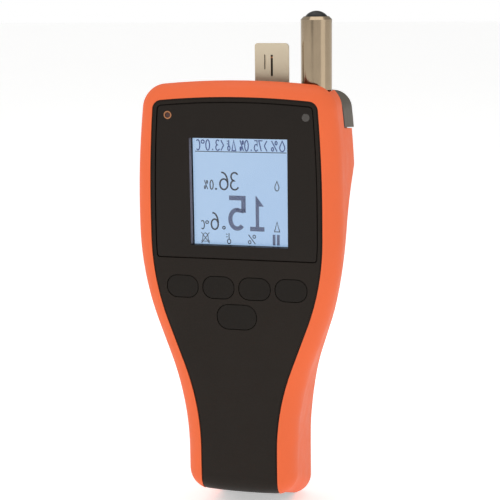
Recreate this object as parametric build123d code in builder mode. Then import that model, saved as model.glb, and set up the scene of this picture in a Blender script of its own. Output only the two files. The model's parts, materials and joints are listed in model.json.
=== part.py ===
"""Handheld weather meter: a two-part housing in a rubber bumper, with a display, five keys, a humidity probe,
a surface temperature blade, a sliding sensor guard, a battery bay and a tripod thread.

Millimetres, +Z up along the body, and the display faces -Y. The origin is the centre of the tripod thread's
mouth on the rear face of the head. Depths are given from the front face and turned into Y by at_depth().
"""

from build123d import *
from math import asin, atan2, degrees, hypot, sqrt, tan
import os

# ---------------------------------------------------------------- driving dimensions
DEPTH = 45.5  # front face to rear face
FAR = 250.0  # larger than the whole object
GAP = 0.15  # clearance beside a sliding piece

# outline of the body, seen from the front
HEAD_HALF = 48.95  # half width at the widest height
WIDE_Z = -33.0
CHEEK_R = 425.0  # gentle arc of the head's sides
PANEL_CHEEK_R = 620.0
GRIP_HALF = 26.8
SWEEP_TOP = -62.4  # corners of the S from head to grip, rounded by SWEEP_R
SWEEP_FOOT = -124.0
SWEEP_R = 140.0
TOP = 29.8  # middle of the arched top edge
CROWN_R = 366.0
TOP_CORNER_R = 12.0
BOTTOM = -169.5
FOOT_R = 300.0
BOTTOM_CORNER_R = 11.0
FOOT_SLOPE = 0.4  # the underside drops this much per millimetre of depth
FOOT_FRONT = 10.4  # depth that the underside is level up to
FOOT_TOP = -150.0  # height that the foot starts below at its front
LONG_BOTTOM = -215.0  # the grip is drawn this long and then cut where the foot starts
EDGE_R = 10.0  # rounding of the front edge
REAR_R = 6.0  # rounding of the rear edge

# scooped back, seen from the side: corners of the rear line, rounded
KNEE_Z = -14.6
KNEE_R = 6.0
SCOOP_Z = -43.7
SCOOP_DEPTH = 11.0
SCOOP_R = 42.0
HEEL_Z = -122.9
HEEL_R = 60.0

# layers
RUBBER = 3.0
WALL = 2.4
SINK = 0.3  # the black faces lie this far below the rubber
FACE_WALL = 2.7  # front wall behind the keys and the display
PARTING_DEPTH = 10.5
CEILING = 15.8  # top of the space inside

# black front and rear panels
PANEL_HEAD = 40.9
PANEL_GRIP = 18.75
PANEL_SWEEP_TOP = -63.6
PANEL_SWEEP_R = 120.0
PANEL_TOP = 22.9
PANEL_CORNER_R = 4.5
PANEL_GAP = 0.1  # panel to rubber
STEP_WIDTH = 0.8  # narrow step round the front panel
STEP_DEPTH = 0.8

# display
BEZEL_MARGIN = 2.2  # panel edge to bezel edge
BEZEL_BOTTOM = -52.5
BEZEL_THICK = 1.4
BEZEL_GROOVE = 0.35
SCREEN_CENTRE = (1.6, -21.05)
SCREEN_SIZE = (46.3, 50.1)
SCREEN_RIM = 2.1  # width of the ledge round the display window
TUNNEL_RIM = 1.9
WINDOW_DEPTH = 4.0
WINDOW_THICK = 1.2
LCD_THICK = 1.8
BACKLIGHT_THICK = 2.0
TRAY_WALL = 1.6
STATUS_POINT = (-31.4, 14.4)
SENSOR_POINT = (33.3, 14.0)
LAMP_R = 1.85

# keys
KEY_PITCH = 17.35
KEY_SIZE = (15.0, 10.5)
KEY_ROW_Z = -66.0
POWER_SIZE = (18.9, 11.8)
POWER_Z = -79.8
KEY_GAP = 0.25
KEY_TRAVEL = 0.8
KEY_BACK_DEPTH = 4.2
FLANGE = 1.0  # how far a key's flange reaches past its cap
STEM_R = 2.4

# circuit board
BOARD_DEPTH = 10.8
BOARD_THICK = 1.6
BOARD_INSET = 8.5
BOARD_TOP = 8.5
BOARD_BOTTOM = -96.0
SWITCH_R = 3.2
SWITCH_HEIGHT = 1.0

# top deck, probe and blade
DECK_Z = 22.0
DECK_HALF = 42.3
CREST_DEPTH = 9.0  # the rubber crest in front of the deck
PROBE_X = 34.3
PROBE_DEPTH = 20.0
PROBE_R = 7.15
PROBE_BORE_R = 6.0
PROBE_MOUTH_R = 5.1
PROBE_FOOT = 8.0
PROBE_SHOULDER = 58.1
PROBE_CHAMFER = 1.4
PROBE_TIP = 60.6
BLADE_X = 13.9
BLADE_DEPTH = 18.0
BLADE_WIDTH = 16.0
BLADE_THICK = 1.2
BLADE_FOOT = 6.0
BLADE_TOP = 46.1
BLADE_SLOT = (0.0, 31.1, 40.8)  # offset from the blade's middle, foot and top
BLADE_LINE = (-3.0, 34.3, 40.7)

# sensor guard
GUARD_DEPTH = 21.5  # front face to the guard's front edge
GUARD_TOP = 24.6
GUARD_CORNER_R = 9.0
GUARD_THICK = 3.0
GUARD_SEAM = 0.5
CROWN_DEPTH = 28.9  # the hoop's crown lies behind the probe
FLANGE_END_FRONT = 7.6  # lower end of the side flanges, which slopes
FLANGE_END_REAR = 4.9
LEG_X = (41.0, 43.2)
LEG_DEPTH = (24.8, 28.6)
LEG_FOOT = -23.5

# battery bay
CELL_R = 7.15
CELL_LENGTH = 50.0
CELL_FOOT = -153.6
CELL_DEPTH = 25.0
CELL_X = 7.45
BAY_HALF = 15.3
COVER_HALF = 16.6
COVER_GAP = 0.25
COVER_TOP = -101.0
COVER_BOTTOM = -164.6
COVER_SCREW_Z = -159.6

# fastenings and ports
TRIPOD_R = 3.175  # 1/4 inch thread, drawn plain at its major radius
TRIPOD_LENGTH = 8.0
MAGNET_R = 5.0
MAGNET_THICK = 2.5
MAGNET_POINTS = [(-24.0, 0.0), (24.0, 0.0)]
SCREW_ROWS = ((33.0, -2.0, 38.0), (21.0, -84.0, 21.5))  # x, z and depth of the seat under the head
BOARD_POINTS = ((35.0, -28.0), (14.0, -90.0))
BOSS_R = 4.0
SHANK_R = 1.4
HEAD_R = 2.8
PORT_DEPTH = 14.4  # front face to the middle of the port
PORT_Z = -18.0
FLAP_HINGE = (-47.55, -26.9)  # X and Z of the flap's bending line
FLAP_BEAD_R = 1.3
FLAP_STRAP_HALF = 2.1
PORT_SIZE = (7.8, 21.0)

os.makedirs("parts", exist_ok=True)


def at_depth(depth):
    """Y of a plane that lies this deep behind the front face."""
    return depth - DEPTH


def finish(piece, label):
    """Names a finished piece and writes it."""
    piece.part.label = label
    export_step(piece.part, f"parts/{label}.step")


def block(x, y, z):
    """A box between two corners, given as ranges."""
    size = (x[1] - x[0], y[1] - y[0], z[1] - z[0])
    middle = (sum(x) / 2, sum(y) / 2, sum(z) / 2)
    return Pos(*middle) * Box(*size, mode=Mode.PRIVATE)


def rod(x, z, radius, depths):
    """A round bar along Y between two depths."""
    length = depths[1] - depths[0]
    middle = at_depth(sum(depths) / 2)
    return Pos(x, middle, z) * Rot(90, 0, 0) * Cylinder(radius, length, mode=Mode.PRIVATE)


def post(x, y, radius, heights):
    """A round bar along Z between two heights."""
    height = heights[1] - heights[0]
    return Pos(x, y, sum(heights) / 2) * Cylinder(radius, height, mode=Mode.PRIVATE)


# ---------------------------------------------------------------- outlines, seen from the front
def cheek_half(z):
    """Half width of the head above its widest height."""
    return HEAD_HALF - CHEEK_R + sqrt(CHEEK_R**2 - (z - WIDE_Z) ** 2)


def right_meeting(centre_a, radius_a, centre_b, radius_b):
    """The upper right point where two circles cross."""
    across, up = centre_b[0] - centre_a[0], centre_b[1] - centre_a[1]
    apart = hypot(across, up)
    along = (radius_a**2 - radius_b**2 + apart**2) / (2 * apart)
    aside = sqrt(radius_a**2 - along**2)
    unit_x, unit_z = across / apart, up / apart
    foot_x, foot_z = centre_a[0] + along * unit_x, centre_a[1] + along * unit_z
    points = [(foot_x - way * aside * unit_z, foot_z + way * aside * unit_x) for way in (-1, 1)]
    return max(points, key=lambda point: point[0] + point[1])


def meter_outline(head, grip, sweep_top, sweep_r, cheek_r, top, corner, bottom, foot_corner, inset):
    """Broad head with an arched top, an S on each side and a straight grip. Insets keep arcs concentric."""
    turn = atan2(head - grip, sweep_top - SWEEP_FOOT)
    lift = inset * tan(turn / 2)
    cheek_centre = (head - cheek_r, WIDE_Z)
    shoulder = right_meeting(cheek_centre, cheek_r - inset, (0, top - CROWN_R), CROWN_R - inset)
    rise = degrees(asin((shoulder[1] - WIDE_Z) / (cheek_r - inset)))
    foot_z = bottom + FOOT_R - sqrt((FOOT_R - inset) ** 2 - (grip - inset) ** 2)
    with BuildSketch() as outline:
        with BuildLine():
            FilletPolyline(
                (head - inset, WIDE_Z), (head - inset, sweep_top + lift), (grip - inset, SWEEP_FOOT + lift),
                (grip - inset, foot_z), radius=[sweep_r - inset, sweep_r + inset],
            )
            JernArc((head - inset, WIDE_Z), tangent=(0, 1), radius=cheek_r - inset, arc_size=rise)
            mirror(about=Plane.YZ)
            ThreePointArc((-shoulder[0], shoulder[1]), (0, top - inset), shoulder)
            ThreePointArc((inset - grip, foot_z), (0, bottom + inset), (grip - inset, foot_z))
        make_face()
        fillet(outline.vertices().group_by(Axis.Y)[-1], corner - inset)
        if foot_corner:
            feet = [v for v in outline.vertices() if abs(v.Y - foot_z) < 0.01]
            fillet(feet, foot_corner - inset)
    return outline.sketch


def body_outline(inset=0.0, top=TOP, corner=TOP_CORNER_R, bottom=BOTTOM):
    """The outline of the whole body, or of the guard when its top and corner are given."""
    return meter_outline(
        HEAD_HALF, GRIP_HALF, SWEEP_TOP, SWEEP_R, CHEEK_R, top, corner, bottom, BOTTOM_CORNER_R, inset
    )


def panel_outline(inset=0.0):
    """The black panel between the rubber's lips; it runs out past the bottom."""
    return meter_outline(
        PANEL_HEAD, PANEL_GRIP, PANEL_SWEEP_TOP, PANEL_SWEEP_R, PANEL_CHEEK_R, PANEL_TOP, PANEL_CORNER_R,
        BOTTOM - 30, 0, inset
    )


def bezel_outline(inset=0.0):
    """The display bezel follows the panel and is cut off straight above the keys."""
    with BuildSketch() as outline:
        add(panel_outline(BEZEL_MARGIN + inset))
        with Locations((0, BEZEL_BOTTOM + inset + FAR / 2)):
            Rectangle(FAR, FAR, mode=Mode.INTERSECT)
        fillet(outline.vertices().group_by(Axis.Y)[0], 1.6 - inset)
    return outline.sketch


def slab(sketch, depths):
    """Extrudes an outline seen from the front between two depths."""
    with BuildPart() as part:
        with BuildSketch(Plane.XZ.offset(DEPTH - depths[1])):
            add(sketch)
        extrude(amount=depths[1] - depths[0])
    return part.part


def rounded(width, height, centre, radius):
    """A rounded rectangle seen from the front."""
    with BuildSketch() as outline:
        with Locations(centre):
            RectangleRounded(width, height, radius)
    return outline.sketch


# ---------------------------------------------------------------- nested volumes of the body
def rear_line(inset):
    """The scooped rear line as corner points (Y, Z) and radii, drawn in by inset."""
    scoop_y = at_depth(SCOOP_DEPTH)
    upper = atan2(-scoop_y, KNEE_Z - SCOOP_Z)
    lower = atan2(-scoop_y, SCOOP_Z - HEEL_Z)
    knee_z = KNEE_Z + inset * tan(upper / 2)
    heel_z = HEEL_Z - inset * tan(lower / 2)
    scoop_z = (knee_z * tan(upper) + heel_z * tan(lower)) / (tan(upper) + tan(lower))
    scoop_y = -inset - tan(upper) * (knee_z - scoop_z)
    points = [(-inset, FAR), (-inset, knee_z), (scoop_y, scoop_z), (-inset, heel_z), (-inset, -FAR)]
    return points, [KNEE_R - inset, SCOOP_R + inset, HEEL_R - inset]


def foot_zone():
    """Everything under the line that the foot starts at, which slopes as its underside does."""
    front = at_depth(FOOT_FRONT)
    rear_top = FOOT_TOP - FOOT_SLOPE * (1 - front)
    with BuildPart() as zone:
        with BuildSketch(Plane.YZ):
            with BuildLine():
                Polyline(
                    (-FAR, FOOT_TOP), (front, FOOT_TOP), (1, rear_top), (1, -FAR), (-FAR, -FAR), close=True
                )
            make_face()
        extrude(amount=FAR, both=True)
    return zone.part


def sloping_foot(inset):
    """The end of the grip, whose underside drops towards the rear."""
    zone = foot_zone()
    with BuildPart() as foot:
        with BuildSketch(Plane.XZ.offset(DEPTH - FOOT_FRONT)):
            add(body_outline(inset))
        extrude(amount=(DEPTH - FOOT_FRONT) * sqrt(1 + FOOT_SLOPE**2), dir=(0, 1, -FOOT_SLOPE))
        with BuildSketch(Plane.XZ.offset(DEPTH - FOOT_FRONT)):
            add(body_outline(inset))
        extrude(amount=FOOT_FRONT - inset)
        add(zone, mode=Mode.INTERSECT)
    return foot.part


def envelope(inset):
    """The whole body's volume, drawn in by inset on every side."""
    points, radii = rear_line(inset)
    zone = foot_zone()
    foot = sloping_foot(inset)
    with BuildPart() as body:
        with BuildSketch(Plane.XZ):
            add(body_outline(inset, bottom=LONG_BOTTOM))
        extrude(amount=DEPTH - inset)
        add(zone, mode=Mode.SUBTRACT)
        add(foot)
        with BuildSketch(Plane.YZ):
            with BuildLine():
                FilletPolyline(*points, radius=radii)
                Polyline(points[-1], (-FAR, -FAR), (-FAR, FAR), points[0])
            make_face()
        extrude(amount=FAR, both=True, mode=Mode.INTERSECT)
        fillet(body.faces().sort_by(Axis.Y)[0].edges(), EDGE_R - inset)
        rim_front = at_depth(EDGE_R) + 0.5
        rim = body.edges().filter_by(Axis.X, reverse=True)
        fillet(rim.filter_by(lambda e: e.bounding_box().min.Y > rim_front), max(REAR_R - inset, 0.8))
    return body.part


shell = envelope(0.0)
face = envelope(SINK)
core = envelope(RUBBER)
grip_floor = envelope(SINK + 0.5)  # floor of the grip grooves in the battery cover
hollow = envelope(RUBBER + WALL)
through = (-1.0, DEPTH + 1.0)
panel_opening = slab(panel_outline(), through)

with BuildPart() as panel_body:
    add(face)
    add(slab(panel_outline(PANEL_GAP), through), mode=Mode.INTERSECT)

with BuildPart() as cavity:
    add(hollow)
    add(block((-FAR, FAR), (-FAR, FAR), (CEILING, FAR)), mode=Mode.SUBTRACT)

# the sunk top deck behind the rubber's crest
deck_pocket = block(
    (-DECK_HALF, DECK_HALF), (at_depth(CREST_DEPTH), at_depth(CROWN_DEPTH + 1)), (DECK_Z, FAR)
)


def above_flanges(clearance):
    """Everything above the sloping lower ends of the guard's flanges, behind the guard's front edge."""
    front = at_depth(GUARD_DEPTH - clearance)
    with BuildPart() as zone:
        with BuildSketch(Plane.YZ) as side:
            with BuildLine():
                Polyline(
                    (front, FLANGE_END_FRONT - clearance), (1, FLANGE_END_REAR - clearance), (1, FAR),
                    (front, FAR), close=True,
                )
            make_face()
            fillet(side.vertices().sort_by_distance((front, FLANGE_END_FRONT - clearance))[0], 1.5)
        extrude(amount=FAR, both=True)
    return zone.part


def guard_loop(inset):
    """The guard's outline through the whole depth behind its front edge."""
    return slab(body_outline(inset, GUARD_TOP, GUARD_CORNER_R), (GUARD_DEPTH - 1, DEPTH))


with BuildPart() as guard_pocket:
    add(above_flanges(GUARD_SEAM))
    add(guard_loop(GUARD_THICK + GAP), mode=Mode.SUBTRACT)
    kept_depths = (at_depth(GUARD_DEPTH - 1), at_depth(CROWN_DEPTH - GUARD_SEAM))
    add(block((-DECK_HALF, DECK_HALF), kept_depths, (-FAR, FAR)), mode=Mode.SUBTRACT)


def leg_blocks(clearance):
    """Both hidden legs of the guard, with the webs that join them to the flanges."""
    y = (at_depth(LEG_DEPTH[0] - clearance), at_depth(LEG_DEPTH[1] + clearance))
    x = (LEG_X[0] - clearance, LEG_X[1] + clearance)
    web_x = (LEG_X[0] - clearance, cheek_half(FLANGE_END_FRONT) - GUARD_THICK / 2)
    leg = block(x, y, (LEG_FOOT - 4 * clearance, GUARD_TOP - 9))
    web = block(web_x, y, (FLANGE_END_FRONT + 1 - clearance, GUARD_TOP - 9))
    legs = leg + web
    return legs + legs.mirror(Plane.YZ)


def leg_slots():
    """The ways that the legs leave by at the top as the guard slides up."""
    y = (at_depth(LEG_DEPTH[0] - GAP), at_depth(LEG_DEPTH[1] + GAP))
    slot = block((LEG_X[0] - GAP, FAR), y, (GUARD_TOP - 12, FAR))
    return slot + slot.mirror(Plane.YZ)


# ---------------------------------------------------------------- bumper and housings
def port_prism(margin, x):
    """The port's rounded outline on the left side, pushed along X."""
    with BuildPart() as prism:
        with BuildSketch(Plane.YZ.offset(x[0])):
            with Locations((at_depth(PORT_DEPTH), PORT_Z)):
                RectangleRounded(PORT_SIZE[0] + 2 * margin, PORT_SIZE[1] + 2 * margin, 2.4 + margin)
        extrude(amount=x[1] - x[0])
    return prism.part


with BuildPart() as bumper:
    add(shell)
    add(core, mode=Mode.SUBTRACT)
    add(panel_opening, mode=Mode.SUBTRACT)
    add(deck_pocket, mode=Mode.SUBTRACT)
    add(guard_pocket.part, mode=Mode.SUBTRACT)
    add(leg_slots(), mode=Mode.SUBTRACT)
    add(port_prism(0, (-FAR, -40)), mode=Mode.SUBTRACT)
    add(post(PROBE_X, at_depth(PROBE_DEPTH), PROBE_R + 0.75, (DECK_Z - 1.8, DECK_Z + 1)), mode=Mode.SUBTRACT)
    add(post(PROBE_X, at_depth(PROBE_DEPTH), PROBE_R, (PROBE_FOOT, DECK_Z)), mode=Mode.SUBTRACT)
finish(bumper, "bumper")

behind = (at_depth(PARTING_DEPTH), FAR)
before = (-FAR, at_depth(PARTING_DEPTH))
everything = (-FAR, FAR)
seal_depths = (PARTING_DEPTH - 0.5, PARTING_DEPTH + 0.5)

with BuildPart() as housing_seal:
    add(slab(body_outline(RUBBER + 0.6, GUARD_TOP, GUARD_CORNER_R), seal_depths))
    add(slab(body_outline(RUBBER + 1.6, GUARD_TOP, GUARD_CORNER_R), seal_depths), mode=Mode.SUBTRACT)
finish(housing_seal, "housing_seal")

screw_points = [(side * x, z, seat) for x, z, seat in SCREW_ROWS for side in (-1, 1)]
board_points = [(side * x, z) for x, z in BOARD_POINTS for side in (-1, 1)]
key_points = [((column - 1.5) * KEY_PITCH, KEY_ROW_Z) for column in range(4)]


def key_shape(size, centre, margin):
    """A key's outline, a rectangle with nearly round ends."""
    width, height = size[0] + 2 * margin, size[1] + 2 * margin
    return rounded(width, height, centre, height / 2 - 0.35)


with BuildPart() as front_housing:
    add(core)
    add(panel_body.part)
    add(cavity.part, mode=Mode.SUBTRACT)
    add(block(everything, behind, everything), mode=Mode.SUBTRACT)
    add(deck_pocket, mode=Mode.SUBTRACT)
    # narrow step along the rubber
    with BuildSketch(Plane.XZ.offset(DEPTH + 1)):
        add(panel_outline())
        add(panel_outline(STEP_WIDTH), mode=Mode.SUBTRACT)
    extrude(amount=-(1 + STEP_DEPTH), mode=Mode.SUBTRACT)
    # thin front wall behind the keys and the display
    with BuildSketch(Plane.XZ.offset(DEPTH - FACE_WALL)):
        add(panel_outline(3.5))
        with Locations((0, (CEILING + BOARD_BOTTOM) / 2)):
            Rectangle(FAR, CEILING - BOARD_BOTTOM, mode=Mode.INTERSECT)
    extrude(amount=-(RUBBER + WALL - FACE_WALL + 0.5), mode=Mode.SUBTRACT)
    for x, z, seat in screw_points:
        add(rod(x, z, BOSS_R, (FACE_WALL, PARTING_DEPTH)))
    for x, z in board_points:
        add(rod(x, z, 2.4, (FACE_WALL, BOARD_DEPTH)))
    # recess and openings of the display
    add(slab(bezel_outline(), (-1, SINK + BEZEL_THICK)), mode=Mode.SUBTRACT)
    with BuildSketch(Plane.XZ.offset(DEPTH)):
        with Locations(SCREEN_CENTRE):
            Rectangle(SCREEN_SIZE[0] + 2 * SCREEN_RIM, SCREEN_SIZE[1] + 2 * SCREEN_RIM)
    extrude(amount=-WINDOW_DEPTH, mode=Mode.SUBTRACT)
    add(rod(*STATUS_POINT, 1.25, (0, 6)), mode=Mode.SUBTRACT)
    for point in key_points:
        add(slab(key_shape(KEY_SIZE, point, KEY_GAP), (-1, 6)), mode=Mode.SUBTRACT)
    add(slab(key_shape(POWER_SIZE, (0, POWER_Z), KEY_GAP), (-1, 6)), mode=Mode.SUBTRACT)
    for x, z, seat in screw_points:
        add(rod(x, z, SHANK_R, (5, PARTING_DEPTH + 1)), mode=Mode.SUBTRACT)
    for x, z in board_points:
        add(rod(x, z, 1.0, (7, BOARD_DEPTH + 1)), mode=Mode.SUBTRACT)
    add(housing_seal.part, mode=Mode.SUBTRACT)
finish(front_housing, "front_housing")

with BuildPart() as cover_zone:
    add(slab(rounded(2 * COVER_HALF, COVER_TOP - COVER_BOTTOM, (0, (COVER_TOP + COVER_BOTTOM) / 2), 3.5),
             (25, DEPTH + 1)))
    add(core, mode=Mode.SUBTRACT)

with BuildPart() as rear_bosses:
    for x, z, seat in screw_points:
        add(rod(x, z, BOSS_R, (PARTING_DEPTH, DEPTH)))
    add(rod(0, 0, 8.5, (DEPTH - 11, DEPTH)))
    for x, z in MAGNET_POINTS:
        add(rod(x, z, MAGNET_R + 1.5, (DEPTH - 7, DEPTH)))
    add(rod(0, COVER_SCREW_Z, 4.4, (DEPTH - 13, DEPTH)))
    add(core, mode=Mode.INTERSECT)

bay_z = (CELL_FOOT - 1.4, CELL_FOOT + CELL_LENGTH + 0.7)

with BuildPart() as rear_housing:
    add(core)
    add(panel_body.part)
    add(cavity.part, mode=Mode.SUBTRACT)
    add(block(everything, before, everything), mode=Mode.SUBTRACT)
    add(rear_bosses.part)
    add(deck_pocket, mode=Mode.SUBTRACT)
    add(guard_pocket.part, mode=Mode.SUBTRACT)
    add(leg_blocks(GAP), mode=Mode.SUBTRACT)
    add(leg_slots(), mode=Mode.SUBTRACT)
    # battery opening and the recess for its cover
    add(block((-BAY_HALF, BAY_HALF), (at_depth(29), FAR), bay_z), mode=Mode.SUBTRACT)
    add(cover_zone.part, mode=Mode.SUBTRACT)
    add(rod(0, COVER_SCREW_Z, 2.8, (DEPTH - 11, DEPTH)), mode=Mode.SUBTRACT)
    # tripod insert, magnets and screws
    add(rod(0, 0, 5.5, (DEPTH - TRIPOD_LENGTH, DEPTH + 1)), mode=Mode.SUBTRACT)
    for x, z in MAGNET_POINTS:
        add(rod(x, z, MAGNET_R, (DEPTH - SINK - MAGNET_THICK, DEPTH + 1)), mode=Mode.SUBTRACT)
    for x, z, seat in screw_points:
        add(rod(x, z, HEAD_R + 0.2, (seat, DEPTH + 1)), mode=Mode.SUBTRACT)
        add(rod(x, z, SHANK_R, (PARTING_DEPTH - 1, seat + 1)), mode=Mode.SUBTRACT)
    # holes for the probe, its seal and the blade, and the port
    add(post(PROBE_X, at_depth(PROBE_DEPTH), PROBE_R, (PROBE_FOOT, FAR)), mode=Mode.SUBTRACT)
    add(post(PROBE_X, at_depth(PROBE_DEPTH), PROBE_R + 0.75, (DECK_Z - 1.8, FAR)), mode=Mode.SUBTRACT)
    add(block((BLADE_X - BLADE_WIDTH / 2, BLADE_X + BLADE_WIDTH / 2),
              (at_depth(BLADE_DEPTH - BLADE_THICK / 2), at_depth(BLADE_DEPTH + BLADE_THICK / 2)),
              (BLADE_FOOT, FAR)), mode=Mode.SUBTRACT)
    add(port_prism(-1.0, (-FAR, -40)), mode=Mode.SUBTRACT)
    add(housing_seal.part, mode=Mode.SUBTRACT)
finish(rear_housing, "rear_housing")

# ---------------------------------------------------------------- sensor guard
with BuildPart() as sensor_guard:
    add(above_flanges(0))
    add(guard_loop(0), mode=Mode.INTERSECT)
    add(guard_loop(GUARD_THICK), mode=Mode.SUBTRACT)
    add(block((-DECK_HALF, DECK_HALF), (at_depth(GUARD_DEPTH - 1), at_depth(CROWN_DEPTH)), (-FAR, FAR)),
        mode=Mode.SUBTRACT)
    add(leg_blocks(0))
finish(sensor_guard, "sensor_guard")

# ---------------------------------------------------------------- display
window_back = WINDOW_DEPTH + WINDOW_THICK
lcd_back = window_back + LCD_THICK
backlight_back = lcd_back + BACKLIGHT_THICK


def screen_slab(margin, depths):
    """A plain rectangle round the display opening, between two depths."""
    with BuildSketch() as outline:
        with Locations(SCREEN_CENTRE):
            Rectangle(SCREEN_SIZE[0] + 2 * margin, SCREEN_SIZE[1] + 2 * margin)
    return slab(outline.sketch, depths)


with BuildPart() as display_bezel:
    add(slab(bezel_outline(BEZEL_GROOVE), (SINK, SINK + BEZEL_THICK)))
    chamfer(display_bezel.faces().sort_by(Axis.Y)[0].edges(), 0.3)
    add(screen_slab(TUNNEL_RIM, (SINK + BEZEL_THICK, WINDOW_DEPTH)))
    add(screen_slab(0, (-1, DEPTH / 2)), mode=Mode.SUBTRACT)
    for point in (STATUS_POINT, SENSOR_POINT):
        add(rod(*point, LAMP_R, (-1, 3)), mode=Mode.SUBTRACT)
finish(display_bezel, "display_bezel")

with BuildPart() as display_window:
    add(screen_slab(SCREEN_RIM, (WINDOW_DEPTH, window_back)))
finish(display_window, "display_window")

with BuildPart() as lcd_panel:
    add(screen_slab(SCREEN_RIM, (window_back, lcd_back)))
finish(lcd_panel, "lcd_panel")

with BuildPart() as backlight:
    add(screen_slab(SCREEN_RIM, (lcd_back, backlight_back)))
finish(backlight, "backlight")

with BuildPart() as lcd_tray:
    add(screen_slab(SCREEN_RIM + TRAY_WALL, (window_back, BOARD_DEPTH)))
    add(screen_slab(SCREEN_RIM, (window_back, backlight_back)), mode=Mode.SUBTRACT)
finish(lcd_tray, "lcd_tray")

with BuildPart() as lamp_ring:
    add(rod(*STATUS_POINT, LAMP_R, (0.1, SINK + BEZEL_THICK)))
    add(rod(*STATUS_POINT, 1.25, (-1, 3)), mode=Mode.SUBTRACT)
finish(lamp_ring, "lamp_ring")

with BuildPart() as status_lamp:
    add(rod(*STATUS_POINT, 1.25, (0.3, 3.2)))
    fillet(status_lamp.edges().sort_by(Axis.Y)[0], 0.4)
finish(status_lamp, "status_lamp")

with BuildPart() as light_sensor:
    add(rod(*SENSOR_POINT, LAMP_R, (0.2, SINK + BEZEL_THICK)))
    fillet(light_sensor.edges().sort_by(Axis.Y)[0], 0.3)
finish(light_sensor, "light_sensor")

# ---------------------------------------------------------------- keys
stem_end = BOARD_DEPTH - SWITCH_HEIGHT - KEY_TRAVEL - 0.05


def make_key(label, size, centre):
    """A key cap with a flange behind the front wall and a stem above its switch."""
    with BuildPart() as key:
        add(slab(key_shape(size, centre, 0), (SINK, KEY_BACK_DEPTH)))
        fillet(key.faces().sort_by(Axis.Y)[0].edges(), 0.35)
        add(slab(key_shape(size, centre, FLANGE), (FACE_WALL + GAP, KEY_BACK_DEPTH)))
        add(rod(*centre, STEM_R, (KEY_BACK_DEPTH, stem_end)))
    finish(key, label)


for number, point in enumerate(key_points, start=1):
    make_key(f"key_{number}", KEY_SIZE, point)
make_key("power_key", POWER_SIZE, (0, POWER_Z))

# ---------------------------------------------------------------- circuit board
board_back = BOARD_DEPTH + BOARD_THICK

with BuildPart() as main_board:
    add(slab(body_outline(BOARD_INSET), (BOARD_DEPTH, board_back)))
    add(block(everything, everything, (BOARD_BOTTOM, BOARD_TOP)), mode=Mode.INTERSECT)
    for x, z, seat in screw_points:
        add(rod(x, z, BOSS_R + 0.3, (0, DEPTH)), mode=Mode.SUBTRACT)
    for x, z in board_points:
        add(rod(x, z, 1.0, (0, DEPTH)), mode=Mode.SUBTRACT)
finish(main_board, "main_board")

with BuildPart() as key_switches:
    for point in key_points + [(0, POWER_Z)]:
        add(rod(*point, SWITCH_R, (BOARD_DEPTH - SWITCH_HEIGHT, BOARD_DEPTH)))
finish(key_switches, "key_switches")

CHIPS = (((-8, 6), (-36, -22), 1.4), ((-24, -15), (-30, -21), 1.2), ((12, 22), (-34, -28), 1.8))

with BuildPart() as board_chips:
    for x, z, chip_height in CHIPS:
        add(block(x, (at_depth(board_back), at_depth(board_back + chip_height)), z))
finish(board_chips, "board_chips")

with BuildPart() as buzzer:
    add(rod(20, -14, 6.0, (board_back, board_back + 4)))
    add(rod(20, -14, 1.2, (board_back + 3, board_back + 5)), mode=Mode.SUBTRACT)
finish(buzzer, "buzzer")

with BuildPart() as board_screws:
    for x, z in board_points:
        add(rod(x, z, 2.0, (board_back, board_back + 1.2)))
        add(rod(x, z, 1.0, (7, board_back)))
finish(board_screws, "board_screws")

with BuildPart() as usb_socket:
    socket_y = (at_depth(board_back), at_depth(board_back + 4))
    add(block((-44.2, -35.5), socket_y, (PORT_Z - 3.9, PORT_Z + 3.9)))
    mouth_y = (socket_y[0] + 0.5, socket_y[1] - 0.5)
    add(block((-45, -38), mouth_y, (PORT_Z - 3.3, PORT_Z + 3.3)), mode=Mode.SUBTRACT)
finish(usb_socket, "usb_socket")

with BuildPart() as port_cover:
    add(shell)
    add(core, mode=Mode.SUBTRACT)
    add(port_prism(-0.3, (-FAR, -40)), mode=Mode.INTERSECT)
    add(block(everything, everything, (-FAR, FLAP_HINGE[1])), mode=Mode.SUBTRACT)
    # narrow strap that ends in the bead that the flap bends about
    for side in (-1, 1):
        outer = sorted((at_depth(PORT_DEPTH) + side * FLAP_STRAP_HALF, at_depth(PORT_DEPTH) + side * 9))
        add(block(everything, outer, (-FAR, FLAP_HINGE[1] + 3)), mode=Mode.SUBTRACT)
    add(rod(*FLAP_HINGE, FLAP_BEAD_R, (PORT_DEPTH - FLAP_STRAP_HALF, PORT_DEPTH + FLAP_STRAP_HALF)))
    add(port_prism(-1.6, (-46.5, -44.8)))
finish(port_cover, "port_cover")

# ---------------------------------------------------------------- probe and blade
probe_y = at_depth(PROBE_DEPTH)

with BuildPart() as probe_sheath:
    add(post(PROBE_X, probe_y, PROBE_R, (PROBE_FOOT, PROBE_SHOULDER)))
    chamfer(probe_sheath.edges().sort_by(Axis.Z)[-1], PROBE_CHAMFER)
    add(post(PROBE_X, probe_y, PROBE_MOUTH_R, (PROBE_FOOT, FAR)), mode=Mode.SUBTRACT)
    add(post(PROBE_X, probe_y, PROBE_BORE_R, (PROBE_FOOT - 1, PROBE_SHOULDER - 4)), mode=Mode.SUBTRACT)
finish(probe_sheath, "probe_sheath")

with BuildPart() as probe_tip:
    with BuildSketch(Plane(origin=(PROBE_X, probe_y, 0), x_dir=(1, 0, 0), z_dir=(0, -1, 0))):
        with BuildLine():
            TangentArc((0, PROBE_TIP), (PROBE_MOUTH_R, PROBE_SHOULDER), tangent=(1, 0))
            foot = PROBE_SHOULDER - 8
            Polyline((PROBE_MOUTH_R, PROBE_SHOULDER), (PROBE_MOUTH_R, foot), (0, foot), (0, PROBE_TIP))
        make_face()
    revolve(axis=Axis((PROBE_X, probe_y, 0), (0, 0, 1)))
finish(probe_tip, "probe_tip")

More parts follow.
